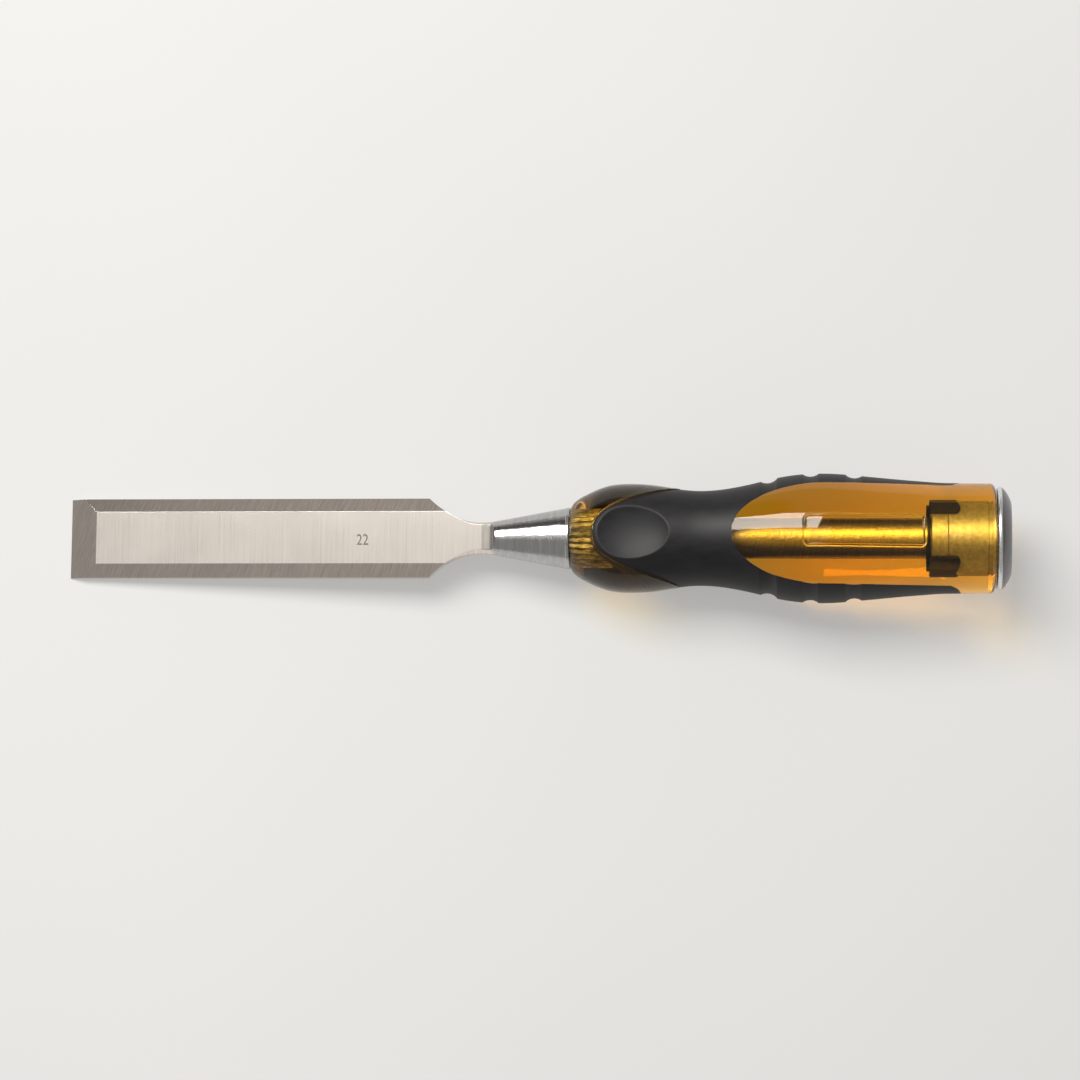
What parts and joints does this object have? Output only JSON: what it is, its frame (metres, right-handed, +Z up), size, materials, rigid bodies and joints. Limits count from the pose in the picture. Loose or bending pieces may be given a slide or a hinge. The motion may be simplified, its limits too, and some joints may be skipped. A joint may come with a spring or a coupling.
{
  "type": "bench chisel",
  "caption": "Bevel-edge bench chisel with a through tang, conical bolster, clear amber handle, black rubber grip and steel strike cap.",
  "frame": {"origin": "centre of the bounding box on the surface the tool lies on", "axes": "+X along the tool from the cutting edge to the strike cap, +Y across the blade, +Z up, bevelled side of the blade up"},
  "size_m": [0.2598, 0.0356, 0.0365],
  "materials": {
    "ground_steel": "ground across the blade, polished bolster",
    "plated_steel": "bright",
    "amber_plastic": "clear amber, glossy",
    "black_rubber": "matte",
    "dark_steel": "blackened, dull"
  },
  "bodies": {
    "root": {"blade_tang": "ground_steel", "handle_core": "amber_plastic", "grip": "black_rubber", "tang_washer": "dark_steel", "end_socket": "plated_steel", "strike_cap": "plated_steel"}
  },
  "joints": []
}
